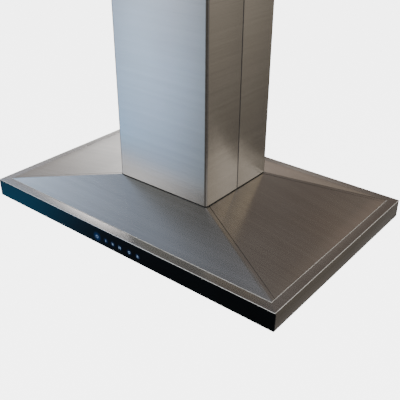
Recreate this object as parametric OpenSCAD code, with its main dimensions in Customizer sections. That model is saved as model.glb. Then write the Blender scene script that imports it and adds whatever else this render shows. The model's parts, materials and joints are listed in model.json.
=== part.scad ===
// Island range hood hung from a ceiling: canopy, two chimney sections and a telescopic frame.
// The origin is the centre of the ceiling fixing holes, on the ceiling's face, and +Z is up.
// Front is -Y. Canopy parts are drawn from the rim's top and lowered by at_rim().

/* [Canopy] */
// Width of the canopy, left to right
hood_w = 900; // [890:5:940]
// Depth of the canopy, front to back
hood_d = 588; // [584:2:620]
// Height of the rim band
rim_h = 48; // [48:1:56]
// Width of the flat ledge round the top
ledge_w = 24; // [20:1:28]
// Height from the rim's top to the chimney's foot
rise = 51; // [50:1:56]
// Thickness of the canopy's sheet steel
sheet = 1.2; // [1:0.1:1.4]
// Width of the folded strip beside each hip
hip_w = 11; // [8:1:14]
// Thickness of the glass fascia
glass_t = 4; // [3:0.5:5]

/* [Chimney] */
// Width of the lower chimney
chimney_w = 284; // [284:1:290]
// Depth of the lower chimney
chimney_d = 250; // [250:1:256]
// Outside radius of the chimney's upright folds
fold_r = 6.5; // [5:0.5:8]
// Length of the lower chimney
lower_len = 500; // [480:5:520]
// Length of the upper chimney
upper_len = 460; // [440:5:470]
// Height of the ceiling above the rim's top
ceiling_h = 800; // [790:5:810]

/* [Filters] */
// Width of one grease filter
filter_w = 255; // [250:1:256]
// Depth of one grease filter
filter_d = 323; // [315:1:325]
// Thickness of one grease filter
filter_t = 9; // [9:0.5:10]

/* [Lamps] */
// Outside radius of a lamp's bezel
bezel_r = 34; // [32:1:36]
// Distance of the lamps from the middle, left and right
lamp_x = 350; // [340:5:380]
// Distance of the lamps from the middle, front and back
lamp_y = 225; // [218:1:230]

/* [Blower] */
// Outside radius of the blower wheel
wheel_r = 66; // [60:1:66]
// Number of blades round the wheel
blades = 30; // [18:2:40]
// Outside radius of the duct spigot
spigot_r = 74.5; // [73:0.5:74.5]

/* [Ceiling fixing] */
// Distance between the ceiling holes, left to right
fix_x = 200; // [190:2:210]
// Distance between the ceiling holes, front to back
fix_y = 170; // [160:2:180]
// Radius of a ceiling hole
fix_r = 4.5; // [4:0.5:5]

/* [Hidden] */
$fn = 48;

// A cut runs this far past the faces it opens
past = 1;

// Chimney sections and the frame inside them
cover_t = 1;
chimney_gap = 3;
upper_w = chimney_w - 2 * (cover_t + chimney_gap);
upper_d = chimney_d - 2 * (cover_t + chimney_gap);
plate_w = upper_w - 2 * cover_t - 3;
plate_d = upper_d - 2 * cover_t - 3;
plate_t = 3;
flange_t = 2;
flange_h = 22;
duct_hole_r = 90;
cable_hole_r = 10;
cable_x = 40;
cable_y = -97;
angle_t = 1.5;
slip = 0.3;
upper_leg = 22;
lower_leg = 20;
// Half sizes over the outer faces of the upright angles
upper_x = plate_w / 2 - flange_t;
upper_y = plate_d / 2 - flange_t;
lower_x = upper_x - angle_t - slip;
lower_y = upper_y - angle_t - slip;
upright_len = 500;
lower_top = 501;
slot_r = 3;
slot_low = 310;
slot_high = 700;
bolt_r = 2.5;
bolt_in = 12.5;
bolt_z = [445, 485];

// Canopy levels, from the rim's top
gasket_t = 2;
deck_z = rise - gasket_t;
deck_t = 2;
// The ledge runs on a little under the sloping sheets
ledge_under = 6;
foot_x = hood_w / 2 - ledge_w;
foot_y = hood_d / 2 - ledge_w;
head_x = chimney_w / 2;
head_y = chimney_d / 2;
panel_low = -rim_h + sheet;
panel_t = 1;
panel_top = panel_low + panel_t;
skirt_y = hood_d / 2 - glass_t;
seam = 0.7;

// Filters
filter_pitch = filter_w + 15;
filter_gap = 1.5;
open_w = filter_w + 2 * filter_gap;
open_d = filter_d + 2 * filter_gap;
border = 12;
latch_border = 30;
mesh_t = 5;
latch_travel = 6;

// Touch panel
marks_z = -29;
marks_x = 7.5;
mark_deep = 0.3;
board_w = 160;
board_h = 22;

// Lamps
lens_r = bezel_r - 7;
sleeve_r = bezel_r - 5;

// Blower
box_x = 98;
box_y = 100;
box_top = deck_z + 215;
axis_y = 6;
axis_z = deck_z + 101;
scroll_x = 56;
scroll_t = 1;
wheel_half = 50;
inlet_r = wheel_r - 12;
cutoff_a = 125;
cutoff_r = wheel_r + 5;
scroll_end_r = wheel_r + 22;
throat_z = deck_z + 176;
shaft_r = 4;
run_fit = 0.05;
motor_r = 38;

// Outlet and damper
spigot_wall = 2;
spigot_low = box_top + 2;
spigot_top = spigot_low + 56;
bore_r = spigot_r - spigot_wall;
pin_r = 1.5;
knuckle_r = 3.5;
damper_z = spigot_low + 12;
flap_r = bore_r - 1.2;
flap_t = 1;

// Electronics
ebox_w = 120;
ebox_back = -82;
ebox_front = -112;
ebox_h = 80;
ebox_t = 1.5;

// Colours
steel = [0.66, 0.65, 0.63];
zinc = [0.72, 0.74, 0.75];
dark = [0.08, 0.08, 0.09];

function throat_front() = axis_y + cutoff_r * cos(cutoff_a);
function throat_rear() = axis_y + scroll_end_r;
function scroll_r(a) = cutoff_r + (scroll_end_r - cutoff_r) * (a - cutoff_a) / (360 - cutoff_a);
// The scroll's inner outline in the plane seen along +X, grown outwards by grow
function scroll_outline(grow) = concat(
    [[throat_front() - grow, throat_z]],
    [for (i = [0:40]) let (a = cutoff_a + (360 - cutoff_a) * i / 40)
        [axis_y + (scroll_r(a) + grow) * cos(a), axis_z + (scroll_r(a) + grow) * sin(a)]],
    [[throat_rear() + grow, throat_z]]);

module at_rim() {
    translate([0, 0, -ceiling_h]) children();
}

// Puts a copy in each of the four corners, by mirroring
module corners() {
    for (mx = [0, 1], my = [0, 1]) mirror([mx, 0, 0]) mirror([0, my, 0]) children();
}

// A block centred in plan, standing on z
module block(w, d, z, h) {
    translate([-w / 2, -d / 2, z]) cube([w, d, h]);
}

// An upright ring of wall t whose outer size is w by d
module wall_ring(w, d, t, z, h) {
    difference() {
        block(w, d, z, h);
        block(w - 2 * t, d - 2 * t, z - past, h + 2 * past);
    }
}

module rounded(w, d, r) {
    square([w - 2 * r, d], center = true);
    square([w, d - 2 * r], center = true);
    for (x = [-1, 1], y = [-1, 1]) translate([x * (w / 2 - r), y * (d / 2 - r)]) circle(r);
}

// Half of a chimney section: side is -1 for the front cover and 1 for the rear one
module cover(w, d, r, z, h, side, inward) {
    t = cover_t + inward;
    translate([0, 0, z]) intersection() {
        linear_extrude(h) difference() {
            rounded(w, d, r);
            rounded(w - 2 * t, d - 2 * t, r - t);
        }
        translate([-w, side > 0 ? seam / 2 : -d - seam / 2, 0]) cube([2 * w, d, h]);
    }
}

// The strip inside the rear cover that closes the seam
module lap(w, z, h) {
    for (s = [-1, 1]) translate([s * (w / 2 - 1.5 * cover_t), 4, z + h / 2])
        cube([cover_t, 24, h], center = true);
}

// A sheet whose outer face runs through points in one plane, listed anticlockwise from above
module sloped(points, t) {
    n = len(points);
    polyhedron(points = concat(points, [for (p = points) p - [0, 0, t]]),
        faces = concat([[for (i = [n - 1:-1:0]) i]], [[for (i = [0:n - 1]) n + i]],
            [for (i = [0:n - 1]) [i, (i + 1) % n, n + (i + 1) % n, n + i]]));
}

module along_x(x0, x1) {
    translate([x0, 0, 0]) rotate([90, 0, 90]) linear_extrude(x1 - x0) children();
}

module rod_x(r, x0, x1) {
    translate([x0, 0, 0]) rotate([0, 90, 0]) cylinder(r = r, h = x1 - x0);
}

module rod_y(r, y0, y1) {
    translate([0, y0, 0]) rotate([-90, 0, 0]) cylinder(r = r, h = y1 - y0);
}

module at_axis() {
    translate([0, axis_y, axis_z]) children();
}

// ---- Ceiling frame -------------------------------------------------------------------------

module ceiling_plate() {
    color(zinc) difference() {
        union() {
            block(plate_w, plate_d, -plate_t, plate_t);
            wall_ring(plate_w, plate_d, flange_t, -plate_t - flange_h, flange_h + 0.5);
        }
        translate([0, 0, -plate_t - past]) {
            cylinder(r = duct_hole_r, h = plate_t + 2 * past, $fn = 96);
            translate([cable_x, cable_y, 0]) cylinder(r = cable_hole_r, h = plate_t + 2 * past);
            corners() translate([fix_x / 2, fix_y / 2, 0]) cylinder(r = fix_r, h = plate_t + 2 * past);
        }
        corners() screw_holes(2);
        corners() rivet_holes();
    }
}

module screw_holes(r) {
    translate([0, 60, -12]) rod_x(r, plate_w / 2 - 6, chimney_w / 2);
}

module rivet_holes() {
    translate([0, upper_y - bolt_in, -14]) rod_x(2.4, upper_x - 4, plate_w / 2 + past);
    translate([upper_x - bolt_in, 0, -14]) rod_y(2.4, upper_y - 4, plate_d / 2 + past);
}

module angle(x, y, leg, z, h) {
    translate([x - angle_t, y - leg, z]) cube([angle_t, leg, h]);
    translate([x - leg, y - angle_t, z]) cube([leg, angle_t, h]);
}

// A slot through a wall that faces X, made of a block and two round ends
module slot_x(z0, z1) {
    translate([upper_x - 6, -slot_r, z0]) cube([12, 2 * slot_r, z1 - z0]);
    for (z = [z0, z1]) translate([0, 0, z]) rod_x(slot_r, upper_x - 6, upper_x + 6);
}

module slot_y(z0, z1) {
    translate([-slot_r, upper_y - 6, z0]) cube([2 * slot_r, 12, z1 - z0]);
    for (z = [z0, z1]) translate([0, 0, z]) rod_y(slot_r, upper_y - 6, upper_y + 6);
}

module upper_uprights() {
    color(zinc) corners() difference() {
        angle(upper_x, upper_y, upper_leg, -plate_t - upright_len, upright_len);
        translate([0, upper_y - bolt_in, -ceiling_h]) slot_x(slot_low, slot_high);
        translate([upper_x - bolt_in, 0, -ceiling_h]) slot_y(slot_low, slot_high);
        rivet_holes();
    }
}

module frame_rivets() {
    color(zinc) corners() {
        translate([0, upper_y - bolt_in, -14]) {
            rod_x(2.4, upper_x - 3, plate_w / 2);
            rod_x(4.5, plate_w / 2, plate_w / 2 + 1);
            rod_x(3.8, upper_x - 3, upper_x - angle_t);
        }
        translate([upper_x - bolt_in, 0, -14]) {
            rod_y(2.4, upper_y - 3, plate_d / 2);
            rod_y(4.5, plate_d / 2, plate_d / 2 + 1);
            rod_y(3.8, upper_y - 3, upper_y - angle_t);
        }
    }
}

module upper_chimney_front() {
    color(steel) difference() {
        cover(upper_w, upper_d, fold_r - 2, -1 - upper_len, upper_len, -1, 0);
        corners() screw_holes(2.2);
    }
}

module upper_chimney_rear() {
    color(steel) difference() {
        union() {
            cover(upper_w, upper_d, fold_r - 2, -1 - upper_len, upper_len, 1, 0);
            lap(upper_w, -1 - upper_len, upper_len);
        }
        corners() screw_holes(2.2);
    }
}

module chimney_screws() {
    color(zinc) corners() translate([0, 60, -12]) {
        rod_x(2, plate_w / 2 - 5, upper_w / 2);
        rod_x(4, upper_w / 2, upper_w / 2 + 1.8);
    }
}

// ---- Frame that carries the canopy -----------------------------------------------------------

module lower_uprights() {
    color(zinc) at_rim() corners() difference() {
        union() {
            angle(lower_x, lower_y, lower_leg, deck_z, lower_top - deck_z);
            translate([lower_x - lower_leg, lower_y - lower_leg, deck_z])
                cube([lower_leg - angle_t, lower_leg - angle_t, 2]);
        }
        for (z = bolt_z) {
            translate([0, upper_y - bolt_in, z]) rod_x(bolt_r, lower_x - 6, lower_x + past);
            translate([upper_x - bolt_in, 0, z]) rod_y(bolt_r, lower_y - 6, lower_y + past);
        }
        translate([lower_x - 11, lower_y - 11, deck_z - past]) cylinder(r = bolt_r, h = 5);
    }
}

module frame_brace() {
    color(zinc) at_rim()
        wall_ring(2 * (lower_x - angle_t), 2 * (lower_y - angle_t), angle_t, 395, 25);
}

// A bolt along +X whose shank ends inside the upright, with a hexagon nut there
module clamp_bolt(out) {
    rod_x(bolt_r, out - 8, out + angle_t + 2 * slip);
    rod_x(4.5, out + angle_t + 2 * slip, out + angle_t + 2 * slip + 2);
    translate([out - angle_t - 4, 0, 0]) rotate([0, 90, 0]) cylinder(r = 4.4, h = 4, $fn = 6);
}

module clamp_bolts() {
    color(zinc) at_rim() corners() for (z = bolt_z) {
        translate([0, upper_y - bolt_in, z]) clamp_bolt(lower_x);
        translate([upper_x - bolt_in, 0, z]) rotate([0, 0, 90]) mirror([0, 1, 0]) clamp_bolt(lower_y);
    }
}

module frame_screws() {
    color(zinc) at_rim() corners() translate([lower_x - 11, lower_y - 11, 0]) {
        translate([0, 0, deck_z - deck_t - 3]) cylinder(r = 4.5, h = 3);
        translate([0, 0, deck_z - deck_t - 1]) cylinder(r = bolt_r, h = 10);
        translate([0, 0, deck_z + 2]) cylinder(r = 4.4, h = 4, $fn = 6);
    }
}

// ---- Canopy ----------------------------------------------------------------------------------

module canopy_rim() {
    color(steel) at_rim() difference() {
        union() {
            wall_ring(hood_w, hood_d, ledge_w + ledge_under, -sheet, sheet);
            // Skirts, with the front one set back behind the glass
            translate([0, glass_t / 2, 0]) {
                wall_ring(hood_w, hood_d - glass_t, sheet, -rim_h, rim_h);
                wall_ring(hood_w, hood_d - glass_t, 16, -rim_h, sheet);
            }
        }
        // Window for the touch board
        translate([marks_x - board_w / 2 - 6, -skirt_y - past, marks_z - 13])
            cube([board_w + 12, sheet + 2 * past, 26]);
    }
}

function hip_shift() = hip_w * norm([foot_x - head_x, foot_y - head_y]) / (foot_x - head_x);

// The sheet along the front, with its two folded strips; the rear one is the same turned round
module long_panel() {
    s = hip_shift();
    sloped([[-foot_x, -foot_y, sheet], [foot_x, -foot_y, sheet], [head_x, -head_y, deck_z],
        [-head_x, -head_y, deck_z]], sheet);
    for (m = [0, 1]) mirror([m, 0, 0])
        sloped([[foot_x, -foot_y, sheet], [foot_x, -foot_y + s, sheet], [head_x, -head_y + s, deck_z],
            [head_x, -head_y, deck_z]], sheet);
}

module side_panel() {
    s = hip_shift() + seam;
    sloped([[foot_x, -foot_y + s, sheet], [foot_x, foot_y - s, sheet], [head_x, head_y - s, deck_z],
        [head_x, -head_y + s, deck_z]], sheet);
}

module canopy_front() {
    color(steel) at_rim() long_panel();
}

module canopy_rear() {
    color(steel) at_rim() rotate([0, 0, 180]) long_panel();
}

module canopy_left() {
    color(steel) at_rim() rotate([0, 0, 180]) side_panel();
}

module canopy_right() {
    color(steel) at_rim() side_panel();
}

module top_frame() {
    color(zinc) at_rim() difference() {
        block(2 * head_x, 2 * head_y, deck_z - deck_t, deck_t);
        block(190, 190, deck_z - deck_t - past, deck_t + 2 * past);
        translate([0, -116, deck_z - deck_t - past]) cylinder(r = 4, h = deck_t + 2 * past);
        corners() translate([lower_x - 11, lower_y - 11, deck_z - deck_t - past])
            cylinder(r = bolt_r, h = deck_t + 2 * past);
    }
}

module seat_gasket() {
    color(dark) at_rim() wall_ring(2 * head_x - 2.4, 2 * head_y - 2.4, 5, deck_z, gasket_t);
}

module at_lamps() {
    for (x = [-1, 1], y = [-1, 1]) translate([x * lamp_x, y * lamp_y, 0]) children();
}

module at_filter(i) {
    translate([(i - 2) * filter_pitch, 0, 0]) children();
}

module underside_panel() {
    w = hood_w - 2 * sheet - 2;
    front = skirt_y - sheet - 1;
    rear = hood_d / 2 - sheet - 1;
    color(steel) at_rim() difference() {
        translate([-w / 2, -front, panel_low]) cube([w, front + rear, panel_t]);
        for (i = [1:3]) at_filter(i) block(open_w, open_d, panel_low - past, panel_t + 2 * past);
        at_lamps() translate([0, 0, panel_low - past]) cylinder(r = sleeve_r, h = panel_t + 2 * past);
    }
}

module lamp_bezels() {
    color(steel) at_rim() at_lamps() translate([0, 0, panel_low - 1]) difference() {
        union() {
            cylinder(r = bezel_r, h = 1);
            cylinder(r = sleeve_r, h = 1 + panel_t);
        }
        translate([0, 0, -past]) cylinder(r = lens_r, h = 4);
    }
}

module lamp_lenses() {
    color([0.95, 0.95, 0.9]) at_rim() at_lamps()
        translate([0, 0, panel_low - 0.6]) cylinder(r = lens_r, h = 1.6);
}

module lamp_housings() {
    color([0.75, 0.75, 0.76]) at_rim() at_lamps() translate([0, 0, panel_top]) {
        cylinder(r = 30, h = 6);
        cylinder(r = 14, h = 22);
        for (z = [9:4:21]) translate([0, 0, z]) cylinder(r = 27, h = 1.4);
    }
}

// ---- Glass and touch panel -------------------------------------------------------------------

// The six marks, as prisms that run deep mm into the glass from its face
module marks(deep) {
    translate([marks_x, -hood_d / 2 + deep, marks_z]) rotate([90, 0, 0]) linear_extrude(deep) {
        // Power mark, a ring with a bar
        translate([-68, 0]) {
            difference() {
                circle(r = 4.2);
                circle(r = 3.1);
                translate([-1.1, 0]) square([2.2, 6]);
            }
            translate([-0.5, 0.6]) square([1, 4.4]);
        }
        // Three speed marks of one, two and three bars
        for (k = [1:3], b = [1:k])
            translate([-61 + 23.5 * k + 2.6 * (b - (k + 1) / 2) - 0.7, -3.2]) square([1.4, 6.4]);
        // Timer mark
        translate([41, 0]) {
            difference() {
                circle(r = 3.6);
                circle(r = 2.7);
            }
            translate([-0.4, -0.4]) square([0.8, 2.4]);
            translate([-0.4, -0.4]) square([1.9, 0.8]);
        }
        // Lamp mark
        translate([68, 0]) {
            circle(r = 2);
            for (a = [0:45:315]) rotate(a) translate([2.8, -0.4]) square([1.6, 0.8]);
        }
    }
}

module front_glass() {
    color(dark) at_rim() difference() {
        translate([-hood_w / 2, -hood_d / 2, -rim_h]) cube([hood_w, glass_t, rim_h - sheet]);
        marks(mark_deep);
    }
}

module touch_marks() {
    color([0.6, 0.85, 1]) at_rim() marks(mark_deep);
}

module touch_board() {
    color([0.05, 0.3, 0.15]) at_rim() {
        translate([marks_x - board_w / 2, -skirt_y, marks_z - board_h / 2])
            cube([board_w, 1.6, board_h]);
        for (x = [-68, -37.5, -14, 9.5, 41, 68])
            translate([marks_x + x - 4, -skirt_y + 1.6, marks_z - 4]) cube([8, 1.2, 8]);
    }
}

module control_housing() {
    w = board_w + 40;
    h = 30;
    color(dark) at_rim() translate([marks_x, -skirt_y + sheet, marks_z]) difference() {
        translate([-w / 2, 0, -h / 2]) cube([w, 16, h]);
        translate([-w / 2 + 15, -past, -h / 2 + 2]) cube([w - 30, 13 + past, h - 4]);
        rod_y(3, 12, 18);
    }
}

// ---- Blower ----------------------------------------------------------------------------------

module blower_box() {
    color(zinc) at_rim() difference() {
        union() {
            block(2 * box_x, 2 * box_y, deck_z, box_top - deck_z);
            block(2 * box_x + 20, 2 * box_y + 20, deck_z, 1);
        }
        block(2 * box_x - 2, 2 * box_y - 2, deck_z - past, box_top - deck_z - 1 + past);
        translate([0, 0, box_top - 2]) cylinder(r = spigot_r + 0.5, h = 4, $fn = 96);
    }
}

module scroll_band() {
    color(zinc) at_rim() along_x(-scroll_x, scroll_x) difference() {
        polygon(scroll_outline(scroll_t));
        polygon(concat([[throat_front(), throat_z + past]], scroll_outline(0),
            [[throat_rear(), throat_z + past]]));
    }
}

// The plate on the right of the wheel, with its round inlet lip
module scroll_side() {
    difference() {
        along_x(scroll_x, scroll_x + scroll_t) polygon(scroll_outline(scroll_t));
        at_axis() rod_x(inlet_r, scroll_x - past, scroll_x + 3);
    }
    at_axis() translate([scroll_x, 0, 0]) rotate([0, 90, 0]) rotate_extrude($fn = 96)
        translate([inlet_r, 0]) difference() {
            square([5, 5]);
            translate([5, 5]) circle(r = 4);
        }
}

module scroll_left() {
    color(zinc) at_rim() mirror([1, 0, 0]) scroll_side();
}

module scroll_right() {
    color(zinc) at_rim() difference() {
        scroll_side();
        at_axis() mount_screws(1.6, scroll_x - past, scroll_x + 7);
    }
}

module mount_screws(r, x0, x1) {
    for (a = [90, 210, 330]) rotate([a, 0, 0]) translate([0, inlet_r + 9, 0]) rod_x(r, x0, x1);
}

// The forward-curved blades, each from one ring to the other, through the middle disc
module blade_row(half) {
    for (i = [0:blades - 1]) rotate([360 * i / blades, 0, 0]) along_x(-half, half)
        polygon([[wheel_r - 9.2, 0], [wheel_r - 9.1, -0.9], [wheel_r - 5, 0.9], [wheel_r - 1, 4.2],
            [wheel_r - 1.6, 4.9], [wheel_r - 5.6, 1.6]]);
}

module impeller() {
    color(zinc) at_rim() at_axis() {
        // Hub and middle disc, with a slot for each blade
        difference() {
            union() {
                rod_x(10, -10, 10);
                rod_x(wheel_r - 4, -0.8, 0.8);
            }
            rod_x(shaft_r, -12, 12);
            blade_row(2);
        }
        for (s = [-1, 1]) mirror([s > 0 ? 0 : 1, 0, 0]) difference() {
            rod_x(wheel_r, wheel_half - 4, wheel_half);
            rod_x(wheel_r - 10, wheel_half - 5, wheel_half + 1);
        }
    }
}

module wheel_blades() {
    color(zinc) at_rim() at_axis() blade_row(wheel_half - 4);
}

module motor_shaft() {
    color(steel) at_rim() at_axis() rod_x(shaft_r, -14, 62);
}

module motor() {
    color([0.3, 0.31, 0.33]) at_rim() at_axis() difference() {
        union() {
            rod_x(12, 13, 18);
            rod_x(motor_r - 6, 18, 22);
            rod_x(motor_r, 22, 74);
            rod_x(motor_r - 8, 74, 80);
            for (a = [0:30:330]) rotate([a, 0, 0]) translate([22, motor_r - 1, -1]) cube([50, 3, 2]);
        }
        rod_x(shaft_r + run_fit, 12, 63);
    }
}

module motor_mount() {
    color(zinc) at_rim() at_axis() difference() {
        union() {
            rod_x(motor_r + 5, 64, 67);
            for (a = [90, 210, 330]) rotate([a, 0, 0]) {
                translate([64, motor_r, -6]) cube([3, 26, 12]);
                translate([0, inlet_r + 9, 0]) rod_x(7, 64, 67);
            }
        }
        rod_x(motor_r + 2, 63, 68);
        mount_screws(1.6, 63, 68);
    }
    color(zinc) at_rim() at_axis() difference() {
        for (a = [15:30:345]) rotate([a, 0, 0]) translate([64, motor_r, -3]) cube([3, 3, 6]);
        rod_x(motor_r, 63, 68);
    }
}

module rubber_mounts() {
    color(dark) at_rim() at_axis() difference() {
        mount_screws(5.5, scroll_x + 1, 64);
        mount_screws(1.6, scroll_x, 65);
    }
}

module outlet_collar() {
    color(dark) at_rim() difference() {
        union() {
            hull() {
                translate([-scroll_x - 1, throat_front() - 1, throat_z])
                    cube([2 * scroll_x + 2, throat_rear() - throat_front() + 2, 1]);
                translate([0, 0, box_top - 3]) cylinder(r = spigot_r, h = 1);
            }
            translate([0, 0, box_top - 2]) cylinder(r = spigot_r, h = spigot_top - box_top + 2, $fn = 96);
            translate([0, 0, box_top]) cylinder(r = spigot_r + 5, h = 2, $fn = 96);
        }
        hull() {
            translate([-scroll_x + 1, throat_front() + 1, throat_z - 0.5])
                cube([2 * scroll_x - 2, throat_rear() - throat_front() - 2, 1]);
            translate([0, 0, box_top - 2.5]) cylinder(r = bore_r - 6, h = 1);
        }
        translate([0, 0, box_top - 2.6]) cylinder(r = bore_r - 6, h = 12, $fn = 96);
        translate([0, 0, damper_z - 1]) cylinder(r = bore_r, h = 100, $fn = 96);
        translate([0, 0, damper_z]) rod_x(pin_r, -spigot_r + 0.5, spigot_r - 0.5);
        // Room under the knuckles
        translate([0, 0, damper_z]) rod_x(knuckle_r + 1, -bore_r + 1, bore_r - 1);
    }
}

module damper_pin() {
    color(steel) at_rim() translate([0, 0, damper_z]) rod_x(pin_r, -spigot_r + 0.5, spigot_r - 0.5);
}

// Starts and ends of the knuckles on the rear flap; the front flap takes their mirror image
knuckles = [[-58, -40], [-20, -2], [22, 38]];

module flap() {
    difference() {
        union() {
            intersection() {
                cylinder(r = flap_r, h = flap_t, center = true, $fn = 96);
                translate([-flap_r, 4.4, -1]) cube([2 * flap_r, flap_r, 2]);
            }
            for (k = knuckles) {
                rod_x(knuckle_r, k[0], k[1]);
                translate([k[0], 0, -flap_t / 2]) cube([k[1] - k[0], 5, flap_t]);
            }
        }
        rod_x(pin_r + run_fit, -flap_r, flap_r);
    }
}

module damper_rear() {
    color([0.8, 0.8, 0.82]) at_rim() translate([0, 0, damper_z]) flap();
}

module damper_front() {
    color([0.8, 0.8, 0.82]) at_rim() translate([0, 0, damper_z]) rotate([0, 0, 180]) flap();
}

// ---- Electronics -----------------------------------------------------------------------------

module electronics_box() {
    color(zinc) at_rim() translate([-ebox_w / 2, ebox_front, box_top]) difference() {
        cube([ebox_w, ebox_back - ebox_front, ebox_h]);
        translate([ebox_t, -past, ebox_t])
            cube([ebox_w - 2 * ebox_t, ebox_back - ebox_front - ebox_t + past, ebox_h - 2 * ebox_t]);
        translate([ebox_w / 2 + cable_x, cable_y - ebox_front, ebox_h - 5]) cylinder(r = 8, h = 10);
        translate([ebox_w / 2, 6, -past]) cylinder(r = 3, h = 5);
    }
}

module electronics_lid() {
    color(zinc) at_rim() translate([-ebox_w / 2 - 1, ebox_front - 1.2, box_top + 0.2])
        cube([ebox_w + 2, 1.2, ebox_h]);
}

module power_board() {
    color([0.1, 0.35, 0.2]) at_rim() translate([-50, ebox_back - ebox_t - 5, box_top + 22]) {
        cube([86, 1.6, 50]);
        translate([8, -14, 8]) cube([30, 14, 26]);
        for (x = [46:12:70]) translate([x, -10, 12]) cube([9, 10, 16]);
        for (x = [6, 76], z = [4, 44]) translate([x, 1.6, z]) rod_y(2, 0, 3.4);
    }
}

module terminal_block() {
    color([0.9, 0.9, 0.85]) at_rim() translate([8, ebox_back - ebox_t - 12, box_top + ebox_t]) difference() {
        cube([36, 12, 12]);
        for (x = [6:12:30]) translate([x, 6, 6]) cylinder(r = 2.2, h = 8);
    }
}

module capacitor() {
    color([0.85, 0.85, 0.87]) at_rim() translate([0, ebox_back - ebox_t - 9, box_top + ebox_t + 9])
        rod_x(9, -54, -4);
}

module cable_gland() {
    color(dark) at_rim() translate([cable_x, cable_y, box_top + ebox_h]) difference() {
        union() {
            translate([0, 0, -6]) cylinder(r = 8, h = 8);
            cylinder(r = 11, h = 5, $fn = 6);
            translate([0, 0, 5]) cylinder(r = 8.5, h = 11);
            translate([0, 0, -6]) cylinder(r = 11, h = 6 - ebox_t, $fn = 6);
        }
        translate([0, 0, -7]) cylinder(r = 5, h = 30);
    }
}

// A lead as a chain of eight-sided lengths
module lead(points, r) {
    for (i = [0:len(points) - 2]) hull() {
        translate(points[i]) sphere(r = r, $fn = 8);
        translate(points[i + 1]) sphere(r = r, $fn = 8);
    }
}

// The main lead from the touch board up to the electronics, and one lead from each lamp
module harness() {
    joint = [0, -132, 36];
    // Each lamp's lead starts just above the housing's top fin
    lamp_z = panel_top + 24.4;
    color(dark) at_rim() {
        lead([[marks_x, -275, marks_z], [marks_x, -255, -20], [0, -205, 6], joint, [0, -116, 44],
            [0, -115, 54], [0, -106, 76], [0, -106, box_top + 8]], 2.6);
        for (s = [-1, 1]) {
            lead([[s * (lamp_x - 8), -lamp_y, lamp_z], [s * 250, -200, 0], [s * 100, -160, 22], joint], 1.8);
            lead([[s * (lamp_x - 8), lamp_y, lamp_z], [s * 220, 150, 14], [s * 118, 80, 38],
                [s * 112, -70, 40], joint], 1.8);
        }
    }
}

// ---- Lower chimney ---------------------------------------------------------------------------

module lower_cover(side) {
    z = rise + 0.1;
    cover(chimney_w, chimney_d, fold_r, z, lower_len, side, 0);
    // Hem folded inwards at the foot
    cover(chimney_w, chimney_d, fold_r, z, 12, side, 1);
}

module lower_chimney_front() {
    color(steel) at_rim() lower_cover(-1);
}

module lower_chimney_rear() {
    color(steel) at_rim() {
        lower_cover(1);
        lap(chimney_w, rise + 14, lower_len - 14);
    }
}

// ---- Grease filters --------------------------------------------------------------------------

// The opening in a filter's frame runs from inner_y, less than the frame by its borders
inner_w = filter_w - 2 * border;
inner_d = filter_d - border - latch_border;
inner_y = -filter_d / 2 + latch_border;
pocket_y = -filter_d / 2 + 3;
latch_mid = panel_low + 4.4;

module mesh_block(grow, z, t) {
    translate([-inner_w / 2 - grow, inner_y - grow, z]) cube([inner_w + 2 * grow, inner_d + 2 * grow, t]);
}

module filter_frame(i) {
    color([0.78, 0.78, 0.79]) at_rim() at_filter(i) difference() {
        union() {
            block(filter_w, filter_d, panel_low, filter_t);
            // Two tabs that hook over the panel's rear edge
            for (x = [-70, 70]) translate([x - 12, filter_d / 2 - 1, panel_top + 0.15]) cube([24, 12.5, 1.2]);
        }
        mesh_block(0, panel_low - past, filter_t + 2 * past);
        mesh_block(4, panel_low + (filter_t - mesh_t) / 2, mesh_t);
        // Pocket and tongue slot for the latch
        translate([-32, pocket_y, panel_low - past]) cube([64, 22, 7 + past]);
        translate([-11, -filter_d / 2 - past, latch_mid - 1.3]) cube([22, 5 + past, 2.6]);
    }
}

module filter_mesh(i) {
    color([0.7, 0.71, 0.72]) at_rim() at_filter(i)
        mesh_block(3.8, panel_low + (filter_t - mesh_t) / 2 + 0.1, mesh_t - 0.2);
}

module latch_spring(i) {
    color(zinc) at_rim() at_filter(i) for (x = [-20, 20]) translate([x, 0, latch_mid]) difference() {
        rod_y(1.4, pocket_y + 9.6 + latch_travel - 6, pocket_y + 22);
        rod_y(0.9, pocket_y + 8 + latch_travel - 6, pocket_y + 24);
    }
}

module filter_latch(i) {
    color(dark) at_rim() at_filter(i) difference() {
        union() {
            translate([-29, pocket_y + 1, latch_mid - 2.1]) cube([58, 12, 4.2]);
            translate([-10, pocket_y - 4.2, latch_mid - 1]) cube([20, 6, 2]);
            translate([-16, pocket_y + 4, panel_low + 0.3]) cube([32, 2.4, 3]);
        }
        // Blind bores for the springs, deep enough for the whole travel
        for (x = [-20, 20]) translate([x, 0, latch_mid])
            rod_y(1.7, pocket_y + 3, pocket_y + 14);
    }
}

ceiling_plate();
upper_uprights();
upper_chimney_front();
upper_chimney_rear();
chimney_screws();
frame_rivets();
lower_uprights();
frame_brace();
clamp_bolts();
frame_screws();
canopy_rim();
canopy_front();
canopy_rear();
canopy_left();
canopy_right();
top_frame();
seat_gasket();
underside_panel();
front_glass();
touch_marks();
touch_board();
control_housing();
lamp_bezels();
lamp_lenses();
lamp_housings();
blower_box();
scroll_band();
scroll_left();
scroll_right();
motor();
motor_mount();
rubber_mounts();
capacitor();
outlet_collar();
damper_pin();
electronics_box();
electronics_lid();
power_board();
terminal_block();
cable_gland();
harness();
lower_chimney_front();
lower_chimney_rear();
impeller();
wheel_blades();
motor_shaft();
damper_front();
damper_rear();
for (i = [1:3]) {
    filter_frame(i);
    filter_mesh(i);
    latch_spring(i);
    filter_latch(i);
}
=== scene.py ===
"""Looks of an island range hood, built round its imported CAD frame.

Lengths are in metres and angles in degrees, unless a line says otherwise.
"""

import json
import math

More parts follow.
